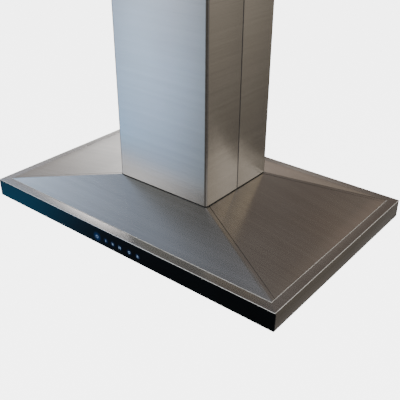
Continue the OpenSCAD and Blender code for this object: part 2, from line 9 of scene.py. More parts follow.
import bmesh
import bpy
from mathutils import Matrix, Vector


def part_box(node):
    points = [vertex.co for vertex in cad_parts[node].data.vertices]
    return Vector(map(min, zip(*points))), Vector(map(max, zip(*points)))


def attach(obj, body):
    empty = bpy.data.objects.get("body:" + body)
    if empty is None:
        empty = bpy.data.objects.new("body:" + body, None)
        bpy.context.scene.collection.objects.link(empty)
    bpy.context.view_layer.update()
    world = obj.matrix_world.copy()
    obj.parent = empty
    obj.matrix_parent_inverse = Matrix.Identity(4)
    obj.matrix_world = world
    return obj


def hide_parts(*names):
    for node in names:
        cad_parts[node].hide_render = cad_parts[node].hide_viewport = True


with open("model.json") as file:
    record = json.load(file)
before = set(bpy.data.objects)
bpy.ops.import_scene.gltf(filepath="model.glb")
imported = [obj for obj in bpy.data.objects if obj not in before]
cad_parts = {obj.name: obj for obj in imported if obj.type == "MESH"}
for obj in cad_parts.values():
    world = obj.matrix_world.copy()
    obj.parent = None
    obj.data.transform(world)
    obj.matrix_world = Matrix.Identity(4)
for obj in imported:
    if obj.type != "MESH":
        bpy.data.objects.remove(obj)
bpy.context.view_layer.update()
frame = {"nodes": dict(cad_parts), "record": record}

# Sizes that the frame's boxes don't give

# Thickness of the canopy's sheet steel, the chimney covers and the glass
SHEET = 0.0012
COVER = 0.001
GLASS = 0.004
# Width of a visible seam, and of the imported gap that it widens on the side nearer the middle
SEAM = 0.0018
CAD_SEAM = 0.0007
# Height of the hem inside a lower cover's foot, and of the dark seat that shows under the foot as a painted
# shadow line
HEM = 0.012
FOOT_GAP = 0.001
# Outside radii: the upright folds of the lower and upper chimney covers, which slide one inside the other,
# the covers' edges at the seam, and the canopy rim's folds
FOLD_R = 0.0065
UPPER_FOLD_R = FOLD_R - 0.002
ROLL_R = 0.0014
RIM_FOLD_R = 0.0013
# Width of the lip that returns under the rim
RETURN_LIP = 0.016
# How far the ledge runs on under the sloping sheets
LEDGE_UNDER = 0.006
# Radius of the rim's upright corners
RIM_CORNER_R = 0.0012
# Steps along a sloping sheet from its head to its foot, and round its nose
SHEET_STEPS = 8
NOSE_STEPS = 6
# How far the soft fold over a hip reaches round the side, and back along the sheet: at the foot, at the head
HIP_FOLD = (0.007, 0.0015)
HIP_START = (0.010, 0.002)
# Half the width of the dark strip under a seam, painted shade seen through the seam
SEAM_SHADE_HALF = 0.007
# Outside radius of a lamp's bezel, and of its opening
LAMP_R = 0.034
LAMP_OPENING_R = 0.027
# Thickness of the parts on the power board, and length of its transformer
BOARD_PARTS_DEPTH = 0.0052
TRANSFORMER_LENGTH = 0.042

rim_low, rim_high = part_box("canopy_rim")
glass_low, glass_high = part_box("front_glass")
sheet_low, sheet_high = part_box("canopy_front")
_, side_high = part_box("canopy_right")
RIM_TOP = rim_high.z


# ---- Materials -------------------------------------------------------------------------------

class Shader:
    """One material's nodes, with short ways to add and join them."""

    def __init__(self, name):
        self.material = bpy.data.materials.new(name)
        self.material.use_nodes = True
        self.tree = self.material.node_tree
        self.bsdf = self.tree.nodes["Principled BSDF"]
        self.coords = self.add("ShaderNodeTexCoord")

    def add(self, kind, **settings):
        """A new node of that kind, with its settings."""
        node = self.tree.nodes.new(kind)
        for key, value in settings.items():
            setattr(node, key, value)
        return node

    def join(self, source, target):
        """Links an output to an input."""
        self.tree.links.new(source, target)

    def fixed(self, **values):
        """Sets the shader's own sockets, by name with underscores for spaces."""
        for key, value in values.items():
            self.bsdf.inputs[key.replace("_", " ")].default_value = value

    def noise(self, scale, detail=2.0, roughness=0.5, stretch=(1, 1, 1)):
        """A noise value over the object, its coordinates multiplied by stretch."""
        mapping = self.add("ShaderNodeMapping")
        mapping.inputs["Scale"].default_value = stretch
        texture = self.add("ShaderNodeTexNoise")
        texture.inputs["Scale"].default_value = scale
        texture.inputs["Detail"].default_value = detail
        texture.inputs["Roughness"].default_value = roughness
        self.join(self.coords.outputs["Object"], mapping.inputs["Vector"])
        self.join(mapping.outputs["Vector"], texture.inputs["Vector"])
        return texture.outputs["Fac"]

    def spread(self, value, low, high, start=0.3, end=0.7):
        """Maps value from start..end to low..high."""
        node = self.add("ShaderNodeMapRange")
        for key, number in (("From Min", start), ("From Max", end), ("To Min", low), ("To Max", high)):
            node.inputs[key].default_value = number
        self.join(value, node.inputs["Value"])
        return node.outputs["Result"]

    def sum(self, a, b, share=0.5):
        """Mixes two values, share of the way from a to b."""
        node = self.add("ShaderNodeMix", data_type="FLOAT")
        node.inputs["Factor"].default_value = share
        self.join(a, node.inputs["A"])
        self.join(b, node.inputs["B"])
        return node.outputs["Result"]

    def tint(self, value, dark, light):
        """A colour between dark and light by value, joined to the base colour."""
        node = self.add("ShaderNodeMix", data_type="RGBA")
        node.inputs["A"].default_value = (*dark, 1)
        node.inputs["B"].default_value = (*light, 1)
        self.join(value, node.inputs["Factor"])
        self.join(node.outputs["Result"], self.bsdf.inputs["Base Color"])
        return node.outputs["Result"]

    def bump(self, value, strength, depth):
        """Joins value to the normal as a bump of that depth."""
        node = self.add("ShaderNodeBump")
        node.inputs["Strength"].default_value = strength
        node.inputs["Distance"].default_value = depth
        self.join(value, node.inputs["Height"])
        self.join(node.outputs["Normal"], self.bsdf.inputs["Normal"])


def scaled(colour, factor):
    """The colour times factor, no channel over 1."""
    return tuple(min(1.0, c * factor) for c in colour)


def brushed_steel(name, grain, across, base=(0.60, 0.58, 0.56), rough=0.22):
    """Brushed stainless steel. grain stretches the noise over the grain; across is the direction over it."""
    s = Shader(name)
    fine = s.noise(1.0, 2, 0.5, tuple(g * 1500 + 3 * (g == 0) for g in grain))
    hair = s.noise(1.0, 2, 0.5, tuple(g * 380 + 1.5 * (g == 0) for g in grain))
    band = s.noise(1.0, 1, 0.5, tuple(g * 60 + 0.8 * (g == 0) for g in grain))
    smudge = s.noise(6.0, 3, 0.55)
    streaks = s.sum(fine, hair, 0.45)
    tone = s.sum(streaks, band, 0.35)
    s.tint(s.spread(tone, 0, 1, 0.34, 0.66), scaled(base, 0.92), scaled(base, 1.06))
    worn = s.sum(streaks, smudge, 0.5)
    s.join(s.spread(worn, rough - 0.04, rough + 0.05, 0.35, 0.65), s.bsdf.inputs["Roughness"])
    s.bump(streaks, 0.03, 0.00005)
    s.fixed(Metallic=1.0, Anisotropic=0.75)
    direction = s.add("ShaderNodeCombineXYZ")
    for axis, value in zip("XYZ", across):
        direction.inputs[axis].default_value = value
    s.join(direction.outputs["Vector"], s.bsdf.inputs["Tangent"])
    return s.material


def sheet_metal(name, base, rough, grain=60.0, cloud=18.0):
    """Zinc-coated or plain sheet with a soft spangle of that grain, and cloudy tones."""
    s = Shader(name)
    spangle = s.add("ShaderNodeTexVoronoi")
    spangle.inputs["Scale"].default_value = grain
    s.join(s.coords.outputs["Object"], spangle.inputs["Vector"])
    clouds = s.noise(cloud, 4, 0.6)
    shade = s.sum(spangle.outputs["Color"], clouds, 0.55)
    s.tint(s.spread(shade, 0, 1, 0.3, 0.7), scaled(base, 0.91), scaled(base, 1.06))
    s.join(s.spread(clouds, rough - 0.07, rough + 0.09), s.bsdf.inputs["Roughness"])
    s.bump(s.noise(900, 2), 0.12, 0.0001)
    s.fixed(Metallic=1.0)
    return s.material


def moulded(name, base, rough, grain=1500.0, depth=0.00008):
    """Moulded plastic or rubber with a fine spark-eroded grain."""
    s = Shader(name)
    cloud = s.noise(25, 3, 0.5)
    s.tint(s.spread(cloud, 0, 1), scaled(base, 0.88), scaled(base, 1.15))
    s.join(s.spread(cloud, rough - 0.06, rough + 0.08), s.bsdf.inputs["Roughness"])
    s.bump(s.noise(grain, 2), 0.35, depth)
    return s.material


def mark_centres():
    """The middle of each touch mark, left to right: power, three speeds, the clock and the lamp."""
    low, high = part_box("touch_marks")
    middle = (low.x + high.x) / 2
    height = (low.z + high.z) / 2
    power, clock, lamp = -0.068, 0.041, 0.068
    speeds = [-0.0375 + 0.0235 * k for k in range(3)]
    return [Vector((middle + x, low.y, height)) for x in (power, *speeds, clock, lamp)]


def black_glass():
    """Back-painted black glass, with a faint blue halo round each lit mark."""
    s = Shader("black_glass")
    cloud = s.noise(9, 3, 0.6)
    s.tint(s.spread(cloud, 0, 1), (0.0006, 0.0008, 0.001), (0.0011, 0.0014, 0.0018))
    s.join(s.spread(s.noise(30, 4, 0.65), 0.03, 0.09), s.bsdf.inputs["Roughness"])
    s.bump(s.noise(14, 1), 0.03, 0.0002)
    s.fixed(IOR=1.45, Specular_IOR_Level=0.15, Specular_Tint=(0.45, 0.8, 1.0, 1))
    glow = None
    for index, centre in enumerate(mark_centres()):
        away = s.add("ShaderNodeVectorMath", operation="DISTANCE")
        away.inputs[1].default_value = centre
        s.join(s.coords.outputs["Object"], away.inputs[0])
        reach, strength = (0.017, 1.0) if index == 0 else (0.010, 0.5)
        near = s.add("ShaderNodeMapRange", interpolation_type="SMOOTHERSTEP")
        for key, number in (("From Min", reach), ("From Max", 0.002), ("To Max", strength)):
            near.inputs[key].default_value = number
        s.join(away.outputs["Value"], near.inputs["Value"])
        if glow is None:
            glow = near.outputs["Result"]
            continue
        total = s.add("ShaderNodeMath", operation="ADD")
        s.join(glow, total.inputs[0])
        s.join(near.outputs["Result"], total.inputs[1])
        glow = total.outputs["Value"]
    halo = s.add("ShaderNodeMix", data_type="RGBA")
    halo.inputs["A"].default_value = (0, 0, 0, 1)
    halo.inputs["B"].default_value = (0.002, 0.020, 0.085, 1)
    s.join(glow, halo.inputs["Factor"])
    s.join(halo.outputs["Result"], s.bsdf.inputs["Emission Color"])
    s.fixed(Emission_Strength=1.0)
    return s.material


def lit_mark():
    """A lit mark in the glass, pale blue and slightly uneven."""
    s = Shader("lit_mark")
    cloud = s.noise(500, 2)
    s.tint(s.spread(cloud, 0, 1), (0.10, 0.16, 0.24), (0.16, 0.24, 0.34))
    glow = s.add("ShaderNodeMix", data_type="RGBA")
    glow.inputs["A"].default_value = (0.34, 0.45, 0.66, 1)
    glow.inputs["B"].default_value = (0.46, 0.60, 0.82, 1)
    s.join(cloud, glow.inputs["Factor"])
    s.join(glow.outputs["Result"], s.bsdf.inputs["Emission Color"])
    s.fixed(Emission_Strength=0.17, Roughness=0.3)
    return s.material


def frosted_lens():
    """A frosted lamp lens that lets some light through."""
    s = Shader("frosted_lens")
    cloud = s.noise(60, 3)
    s.tint(s.spread(cloud, 0, 1), (0.84, 0.85, 0.83), (0.95, 0.95, 0.92))
    s.join(s.spread(cloud, 0.38, 0.55), s.bsdf.inputs["Roughness"])
    s.bump(s.noise(1800, 2), 0.3, 0.00006)
    s.fixed(Transmission_Weight=0.55, IOR=1.5)
    return s.material


def circuit_board():
    """Green board with a raster of paler tracks."""
    s = Shader("circuit_board")
    tracks = s.add("ShaderNodeTexBrick", offset=0.5)
    tracks.inputs["Scale"].default_value = 180
    tracks.inputs["Mortar Size"].default_value = 0.03
    tracks.inputs["Color1"].default_value = (0.02, 0.13, 0.06, 1)
    tracks.inputs["Color2"].default_value = (0.025, 0.16, 0.075, 1)
    tracks.inputs["Mortar"].default_value = (0.05, 0.24, 0.12, 1)
    s.join(s.coords.outputs["Object"], tracks.inputs["Vector"])
    s.join(tracks.outputs["Color"], s.bsdf.inputs["Base Color"])
    s.join(s.spread(s.noise(200, 2), 0.3, 0.5), s.bsdf.inputs["Roughness"])
    s.bump(tracks.outputs["Fac"], 0.2, 0.00006)
    return s.material


def painted_highlight_edge():
    """Painted highlight for tight folds and sheet noses: paler, duller and less metallic than the faces
    beside them, so the lamps light these edges as bright lines.
    """
    s = Shader("painted_highlight_edge")
    scratches = s.noise(1, 2, 0.5, (300, 300, 900))
    s.tint(s.spread(scratches, 0, 1), (0.66, 0.65, 0.63), (0.82, 0.81, 0.79))
    s.join(s.spread(scratches, 0.35, 0.5), s.bsdf.inputs["Roughness"])
    s.bump(scratches, 0.1, 0.00005)
    s.fixed(Metallic=0.35)
    return s.material


STEEL_TOP = brushed_steel("steel_brushed_along_x", (0, 1, 0), (0, 1, 0))
STEEL_UPRIGHT = brushed_steel("steel_brushed_level", (0, 0, 1), (0, 0, 1))

# Painted highlight, for the rim's folds and the sloping sheets' noses
PAINTED_HIGHLIGHT_EDGE = painted_highlight_edge()
# Painted shade: a dark copy of the mesh metal, for the layers behind
MESH_SHADOW = sheet_metal("mesh_layers_in_painted_shade", (0.20, 0.20, 0.20), 0.5, 400, 250)

SLOT_MATERIALS = {
    "brushed_steel": STEEL_UPRIGHT,
    "galvanised_steel": sheet_metal("galvanised", (0.60, 0.62, 0.63), 0.42, 130),
    "zinc_hardware": sheet_metal("zinc_plate", (0.70, 0.69, 0.66), 0.25, 300),
    "black_glass": black_glass(),
    "glowing_marks": lit_mark(),
    "gasket_foam": moulded("foam", (0.012, 0.012, 0.012), 0.9, 900, 0.0003),
    "black_plastic": moulded("black_plastic", (0.022, 0.022, 0.024), 0.45),
    "grey_plastic": moulded("grey_plastic", (0.34, 0.35, 0.36), 0.42),
    "white_plastic": moulded("white_plastic", (0.72, 0.72, 0.68), 0.35),
    "circuit_board": circuit_board(),
    "frosted_lens": frosted_lens(),
    "die_cast": sheet_metal("die_cast", (0.55, 0.56, 0.57), 0.5, 500),
    "filter_aluminium": brushed_steel("filter_aluminium", (0, 1, 0), (0, 1, 0), (0.74, 0.75, 0.76), 0.3),
    "filter_mesh": sheet_metal("mesh_metal", (0.66, 0.67, 0.68), 0.34, 400, 250),
    "motor_casing": moulded("motor_paint", (0.035, 0.037, 0.042), 0.35, 700, 0.0001),
    "rubber": moulded("rubber", (0.018, 0.018, 0.018), 0.7),
    "spring_steel": sheet_metal("spring_wire", (0.62, 0.61, 0.6), 0.22, 300),
    "lead_sheath": moulded("lead_sheath", (0.03, 0.03, 0.032), 0.5),
}
NODE_SLOT = {p["node"]: p["material_slot"] for p in frame["record"]["subparts"]}
NODE_BODY = {n: b for b, nodes in frame["record"]["behaviour"]["bodies"].items() for n in nodes}


# ---- Building pieces -------------------------------------------------------------------------

def piece(name, bm, node, materials=None, bevel=0.0, segments=2, smooth=35):
    """Finishes a bmesh as a visible piece that rides on its CAD node's body and stands for that node."""
    bmesh.ops.recalc_face_normals(bm, faces=bm.faces)
    mesh = bpy.data.meshes.new(name)
    bm.to_mesh(mesh)
    bm.free()
    obj = bpy.data.objects.new(name, mesh)
    bpy.context.scene.collection.objects.link(obj)
    for material in materials or [SLOT_MATERIALS[NODE_SLOT[node]]]:
        mesh.materials.append(material)
    if bevel:
        modifier = obj.modifiers.new("edges", "BEVEL")
        modifier.width = bevel
        modifier.segments = segments
        modifier.limit_method = "ANGLE"
        modifier.angle_limit = math.radians(smooth)
        modifier.harden_normals = True
    mesh.polygons.foreach_set("use_smooth", [True] * len(mesh.polygons))
    mesh.set_sharp_from_angle(angle=math.radians(smooth))
    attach(obj, NODE_BODY[node])
    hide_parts(node)
    return obj


def strip(bm, rings, closed=True, material=0):
    """Faces between neighbouring rings of vertices; closed joins each ring's last point to its first."""
    faces = []
    for a, b in zip(rings, rings[1:]):
        count = len(a)
        for i in range(count if closed else count - 1):
            j = (i + 1) % count
            faces.append(bm.faces.new((a[i], a[j], b[j], b[i])))
    for face in faces:
        face.material_index = material
    return faces


def ring(bm, points):
    """New vertices at the points."""
    return [bm.verts.new(p) for p in points]


def arc(centre, radius, start, end, steps):
    """Points of an arc in a plane, as pairs, from start to end in degrees."""
    angles = [math.radians(start + (end - start) * i / steps) for i in range(steps + 1)]
    return [(centre[0] + radius * math.cos(a), centre[1] + radius * math.sin(a)) for a in angles]


def finished(node, bevel=0.0003, segments=2, smooth=30, materials=None, pick=lambda centre: 0):
    """A visible copy of a CAD node with its edges rounded. pick chooses a face's material by its centre."""
    bm = bmesh.new()
    bm.from_mesh(frame["nodes"][node].data)
    bmesh.ops.remove_doubles(bm, verts=bm.verts, dist=1e-6)
    bmesh.ops.dissolve_limit(bm, angle_limit=math.radians(0.5), verts=bm.verts, edges=bm.edges)
    for face in bm.faces:
        face.material_index = pick(face.calc_center_median())
    return piece(node + "_finished", bm, node, materials, bevel, segments, smooth)


def board_parts():
    """The power board's materials, and which of them a face takes: board, transformer or relays."""
    low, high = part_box("power_board")
    plate_front, transformer_end = high.y - BOARD_PARTS_DEPTH, low.x + TRANSFORMER_LENGTH

    def pick(centre):
        """The number of the material of a face whose middle is at centre."""
        if centre.y > plate_front:
            return 0
        return 1 if centre.x < transformer_end else 2

    return [SLOT_MATERIALS[slot] for slot in ("circuit_board", "grey_plastic", "black_plastic")], pick


# ---- Chimney covers --------------------------------------------------------------------------

def cover_path(half_w, half_d, radius, inset, side):
    """A cover's outline in plan, from seam to seam, inset from its outer face; its ends roll inwards."""
    x, y, r = half_w - inset, half_d - inset, radius - inset
    roll = ROLL_R - inset
    edge = -SEAM / 2
    ends = arc((half_w - ROLL_R, edge - ROLL_R), roll, 60, 0, 5)
    path = ends + arc((x - r, -y + r), r, 0, -90, 8) + arc((-x + r, -y + r), r, -90, -180, 8)
    path += [(-px, py) for px, py in reversed(ends)]
    return [(-px, -py) for px, py in path] if side > 0 else path


def cover_shell(bm, path_out, path_in, z0, z1):
    """A closed upright wall between two matching paths."""
    outer = [ring(bm, [(x, y, z) for x, y in path_out]) for z in (z0, z1)]
    inner = [ring(bm, [(x, y, z) for x, y in path_in]) for z in (z0, z1)]
    strip(bm, outer, False)
    strip(bm, inner, False)
    for low, high in ((outer[0], inner[0]), (outer[1], inner[1])):
        strip(bm, [low, high], False)
    for end in (0, -1):
        bm.faces.new((outer[0][end], outer[1][end], inner[1][end], inner[0][end]))


def chimney_cover(node, radius, side, hem, lap):
    """A folded steel cover, with a hem at its foot and, on a rear cover, a lap behind the seam, dark foam on
    it as painted shade seen through the seam.
    """
    low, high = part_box(node)
    half_w = high.x
    half_d = max(abs(low.y), abs(high.y))
    bm = bmesh.new()
    outer = cover_path(half_w, half_d, radius, 0, side)
    start = low.z + (FOOT_GAP if hem else 0)
    # The lap reaches this far either side of the seam, in y
    lap_start, lap_end = -0.008, 0.016
    cover_shell(bm, outer, cover_path(half_w, half_d, radius, COVER, side), start, high.z)
    if hem:
        cover_shell(bm, cover_path(half_w, half_d, radius, COVER + 0.00005, side),
                    cover_path(half_w, half_d, radius, 2 * COVER, side), start, low.z + HEM)
    if lap:
        foot = low.z + (HEM + 0.002 if hem else 0)
        for s in (-1, 1):
            x_out, x_in = s * (half_w - COVER - 0.00002), s * (half_w - 2 * COVER)
            ends = [[(x_out, y, z), (x_in, y, z)] for y, z in
                    ((lap_start, foot), (lap_start, high.z), (lap_end, high.z), (lap_end, foot))]
            columns = [ring(bm, pair) for pair in ends]
            # The lap's faces take the dark foam: painted shade seen through the seam
            strip(bm, columns + columns[:1], False, 1)
            for k in (0, 1):
                bm.faces.new([column[k] for column in columns]).material_index = 1
    return piece(node + "_cover", bm, node, [STEEL_UPRIGHT, SLOT_MATERIALS["gasket_foam"]], 0.0003, 2, 40)


# ---- Canopy ----------------------------------------------------------------------------------

def canopy_rim():
    """The folded rim: ledge, three skirts, the front skirt behind the glass, and the bottom return."""
    r = RIM_FOLD_R
    low, high = rim_low, rim_high
    ledge = high.x - sheet_high.x + LEDGE_UNDER
    # Each entry: inset from the outer face, height, extra inset of the front side
    section = [(ledge, high.z - SHEET, 0), (ledge, high.z, 0)]
    section += [(x, z, 0) for x, z in arc((r, high.z - r), r, 90, 180, 5)]
    section += [(0, high.z - SHEET - 0.0002, 0), (0.0002, high.z - SHEET - 0.0003, GLASS - 0.0002)]
    section += [(0, high.z - 0.0022, GLASS)]
    section += [(x, z, GLASS) for x, z in arc((r, low.z + r), r, 180, 270, 5)]
    section += [(RETURN_LIP, low.z, GLASS), (RETURN_LIP, low.z + SHEET, GLASS), (SHEET, low.z + SHEET, GLASS)]
    section += [(SHEET, high.z - SHEET, GLASS)]
    # The bands of faces that lie on the fold between the ledge and the skirts, which carry the painted
    # highlight
    fold_bands = range(3, 6)
    bm = bmesh.new()
    rings = []
    for inset, z, front in section:
        x, y0, y1 = high.x - inset, low.y + inset + front, high.y - inset
        c = max(0.0002, RIM_CORNER_R - inset * 0.3)
        corners = ((x - c, y0 + c, -90), (x - c, y1 - c, 0), (-x + c, y1 - c, 90), (-x + c, y0 + c, 180))
        points = []
        for cx, cy, a in corners:
            points += [(px, py, z) for px, py in arc((cx, cy), c, a, a + 90, 3)]
        rings.append(ring(bm, points))
    faces = strip(bm, rings + rings[:1])
    bmesh.ops.recalc_face_normals(bm, faces=bm.faces)
    top, upright, edge = range(3)
    for index, face in enumerate(faces):
        if index // len(rings[0]) in fold_bands:
            # painted highlight on the fold
            face.material_index = edge
        else:
            face.material_index = top if abs(face.normal.z) > 0.6 else upright
    return piece("canopy_rim_band", bm, "canopy_rim", [STEEL_TOP, STEEL_UPRIGHT, PAINTED_HIGHLIGHT_EDGE], 0, 1, 50)


def pyramid_corner(sx, sy):
    """Foot and head of a hip, at the corner of the canopy with those signs."""
    head_low, head_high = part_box("lower_chimney_front")
    foot = Vector((sx * sheet_high.x, sy * -sheet_low.y, RIM_TOP + SHEET))
    head = Vector((sx * head_high.x, sy * -head_low.y, sheet_high.z))
    return foot, head


def sheet_section(foot, head, outward):
    """A closed loop round a sloping sheet's section: its top from the head down, its nose, its underside."""
    half = SHEET / 2
    out = Vector(outward) * half
    middle = foot - out - Vector((0, 0, half))
    nose = []
    for k in range(NOSE_STEPS + 1):
        turn = math.radians(90 - 180 / NOSE_STEPS * k)
        nose.append(middle + out * math.cos(turn) + Vector((0, 0, half * math.sin(turn))))
    top = [head.lerp(nose[0], i / SHEET_STEPS) for i in range(SHEET_STEPS)]
    return top + nose + [p - Vector((0, 0, SHEET)) for p in reversed(top)]


def sheet_from(bm, columns):
    """A sheet through its columns of (foot, head, outward), its nose in the second material, the painted
    highlight.
    """
    sections = [sheet_section(*column) for column in columns]
    rings = [ring(bm, section) for section in sections]
    count = len(rings[0])
    # The nose's bands take the painted highlight
    bright = range(SHEET_STEPS + 1, SHEET_STEPS + NOSE_STEPS - 1)
    for index, face in enumerate(strip(bm, rings)):
        face.material_index = 1 if index % count in bright else 0
    bm.faces.new(rings[0])
    bm.faces.new(rings[-1])


def seam_shade_strip(bm, foot, head, material):
    """A flat dark strip just under the seam that runs from foot to head: painted shade seen through the seam.
    """
    top, bottom = -SHEET - 0.0001, -SHEET - 0.0007
    corners = ((-SEAM_SHADE_HALF, top), (SEAM_SHADE_HALF, top), (SEAM_SHADE_HALF, bottom), (-SEAM_SHADE_HALF, bottom))
    rings = [ring(bm, [end + Vector((0, y, z)) for y, z in corners]) for end in (foot, head)]
    strip(bm, rings, True, material)
    for end in rings:
        bm.faces.new(end).material_index = material


def long_sheet(node, sy):
    """The front or rear sloping sheet, folded over each hip, with a dark strip under each seam as painted
    shade.
    """
    bm = bmesh.new()
    reach = -sheet_low.y - side_high.y - CAD_SEAM
    columns = []
    for sx in (1, -1):
        foot, head = pyramid_corner(sx, sy)
        back, inwards = Vector((0, -sy, 0)), Vector((-sx, 0, 0))
        side, across, corner = (sx, 0, 0), (0, sy, 0), (sx, sy, 0)
        half = [(foot + back * (reach - 0.0002), head + back * (reach - SEAM + CAD_SEAM), side),
                (foot + back * HIP_FOLD[0], head + back * HIP_FOLD[1], side),
                (foot, head, corner),
                (foot + inwards * HIP_START[0], head + inwards * HIP_START[1], across)]
        columns += half if sx > 0 else half[::-1]
        # Painted shade under the seam
        seam_shade_strip(bm, foot + back * reach, head + back * reach, 2)
    first, last = columns[3], columns[4]
    shares = [k / 10 for k in range(1, 10)]
    columns[4:4] = [(first[0].lerp(last[0], t), first[1].lerp(last[1], t), across) for t in shares]
    sheet_from(bm, columns)
    return piece(node + "_sheet", bm, node, [STEEL_TOP, PAINTED_HIGHLIGHT_EDGE, SLOT_MATERIALS["gasket_foam"]], 0, 1, 40)


def side_sheet(node, sx):
    """The left or right sloping sheet, between the seams beside its two hips."""
    bm = bmesh.new()
    foot_y = side_high.y
    front_foot, front_head = pyramid_corner(sx, -1)
    head_y = -front_head.y - (-front_foot.y - foot_y)
    columns = []
    for k in range(11):
        t = 1 - k / 5
        columns.append((Vector((front_foot.x, -foot_y * t, front_foot.z)),
                        Vector((front_head.x, -head_y * t, front_head.z)), (sx, 0, 0)))
    sheet_from(bm, columns)
    return piece(node + "_sheet", bm, node, [STEEL_TOP, PAINTED_HIGHLIGHT_EDGE], 0, 1, 40)


def front_glass():
    """The glass fascia: a slab with small round corners, a hair behind the face of the marks."""
    bm = bmesh.new()
    half, low, high, corner = glass_high.x, glass_low.z, glass_high.z - 0.0003, 0.0008
    outline = []
    for x, z, a in ((half - corner, low + corner, -90), (half - corner, high - corner, 0),
                    (-half + corner, high - corner, 90), (-half + corner, low + corner, 180)):
        outline += arc((x, z), corner, a, a + 90, 3)
    rings = [ring(bm, [(x, y, z) for x, z in outline]) for y in (glass_low.y + 0.0001, glass_high.y)]
    strip(bm, rings)
    bm.faces.new(rings[0])
    bm.faces.new(rings[1])
    return piece("glass_fascia", bm, "front_glass", None, 0.0006, 3, 40)


# ---- Grease filters --------------------------------------------------------------------------

def expanded_mesh(node):
    """Layers of expanded aluminium mesh: zigzag strands that meet in diamonds."""
    low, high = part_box(node)
    bm = bmesh.new()
    pitch_x, pitch_y = 0.0095, 0.0052
    half = 0.00055
    # A strand's section, flattened and leaning, round its middle
    corners = ((0, -half, -half * 0.6), (0, half, -half), (0, half, half * 0.6), (0, -half, half))
    zigzag = pitch_y - 0.0011
    count_x = int((high.x - low.x) / pitch_x)
    count_y = int((high.y - low.y) / pitch_y)
    for layer, z in enumerate((low.z + 0.0007, low.z + 0.0024)):
        shift = 0.5 * layer
        for row in range(count_y):
            y = low.y + 0.0015 + pitch_y * row
            rings = []
            for column in range(2 * count_x + 1):
                x = low.x + 0.0012 + pitch_x * (column / 2 + shift * 0.5)
                if x > high.x - 0.0006:
                    break
                side, lift = (0.5, 0.0004) if column % 2 == row % 2 else (-0.5, -0.0003)
                centre = Vector((x, y + side * zigzag + 0.0022, z + lift))
                rings.append(ring(bm, [centre + Vector(corner) for corner in corners]))
            strip(bm, rings)
    # A dull dark backing that closes the view through the pack: painted shade for the mesh layers behind
    z = high.z - 0.0002
    back = ring(bm, [(low.x, low.y, z), (high.x, low.y, z), (high.x, high.y, z), (low.x, high.y, z)])
    bm.faces.new(back).material_index = 1
    return piece(node + "_strands", bm, node, [SLOT_MATERIALS["filter_mesh"], MESH_SHADOW], 0, 1, 60)


def coil_spring(node):
    """The two small compression springs behind a latch, as true coils."""
    low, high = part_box(node)
    bm = bmesh.new()
    wire = 0.00025
    radius = (high.z - low.z) / 2 - wire
    turns, steps, sides = 7, 16, 6
    for x in (low.x + radius + wire, high.x - radius - wire):
        rings = []
        for i in range(turns * steps + 1):
            angle = 2 * math.pi * i / steps
            y = low.y + wire + (high.y - low.y - 2 * wire) * i / (turns * steps)
            out = Vector((math.cos(angle), 0, math.sin(angle)))
            centre = Vector((x, y, (low.z + high.z) / 2)) + out * radius
            points = []
            for k in range(sides):
                a = 2 * math.pi * k / sides
                points.append(centre + out * wire * math.cos(a) + Vector((0, wire * math.sin(a), 0)))
            rings.append(ring(bm, points))
        strip(bm, rings)
        bm.faces.new(rings[0])
        bm.faces.new(rings[-1])
    return piece(node + "_coils", bm, node, None, 0, 1, 60)


# ---- Lamps -----------------------------------------------------------------------------------

def lathe(bm, centre, profile, steps=64):
    """A closed profile of (radius, height) pairs turned about an upright axis through centre."""
    rings = []
    for i in range(steps):
        a = 2 * math.pi * i / steps
        rings.append(ring(bm, [centre + Vector((r * math.cos(a), r * math.sin(a), z)) for r, z in profile]))
    strip(bm, rings + rings[:1])


def lamp_centres():
    """The middle of each lamp, at the height of the bezels' lowest point."""
    low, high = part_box("lamp_bezels")
    r = LAMP_R
    return [Vector((x, y, low.z)) for x in (low.x + r, high.x - r) for y in (low.y + r, high.y - r)]


def lamp_bezels():
    """Thin turned rings with a rolled inner lip and a neck that enters the panel."""
    bm = bmesh.new()
    lip = [(LAMP_OPENING_R, 0.0004), (0.0275, 0.0001), (0.029, 0)]
    flange = [(0.0325, 0.0001), (0.0337, 0.0004), (LAMP_R, 0.0009)]
    neck = [(0.029, 0.00102), (0.029, 0.002), (LAMP_OPENING_R, 0.002)]
    for centre in lamp_centres():
        lathe(bm, centre, lip + flange + neck)
    return piece("lamp_bezel_rings", bm, "lamp_bezels", [STEEL_TOP], 0, 1, 40)


def lamp_lenses():
    """Frosted discs with a slightly domed face, just inside the bezels."""
    bm = bmesh.new()
    radius, centre_r = 0.0269, 0.0001
    for centre in lamp_centres():
        dome = [(radius * math.cos(a), 0.0006 - 0.0001 * math.sin(a)) for a in
                (math.pi / 2 * k / 6 for k in range(7))]
        profile = [(centre_r, 0.0019), (radius, 0.0019)] + [(max(r, centre_r), z) for r, z in dome]
        lathe(bm, centre, profile)
    return piece("lamp_lens_discs", bm, "lamp_lenses", None, 0, 1, 40)


chimney_cover("lower_chimney_front", FOLD_R, -1, True, False)
chimney_cover("lower_chimney_rear", FOLD_R, 1, True, True)
chimney_cover("upper_chimney_front", UPPER_FOLD_R, -1, False, False)
chimney_cover("upper_chimney_rear", UPPER_FOLD_R, 1, False, True)
canopy_rim()
long_sheet("canopy_front", -1)
long_sheet("canopy_rear", 1)
side_sheet("canopy_left", -1)
side_sheet("canopy_right", 1)
front_glass()
for number in (1, 2, 3):
    expanded_mesh(f"filter_mesh_{number}")
    coil_spring(f"latch_spring_{number}")
lamp_bezels()
lamp_lenses()

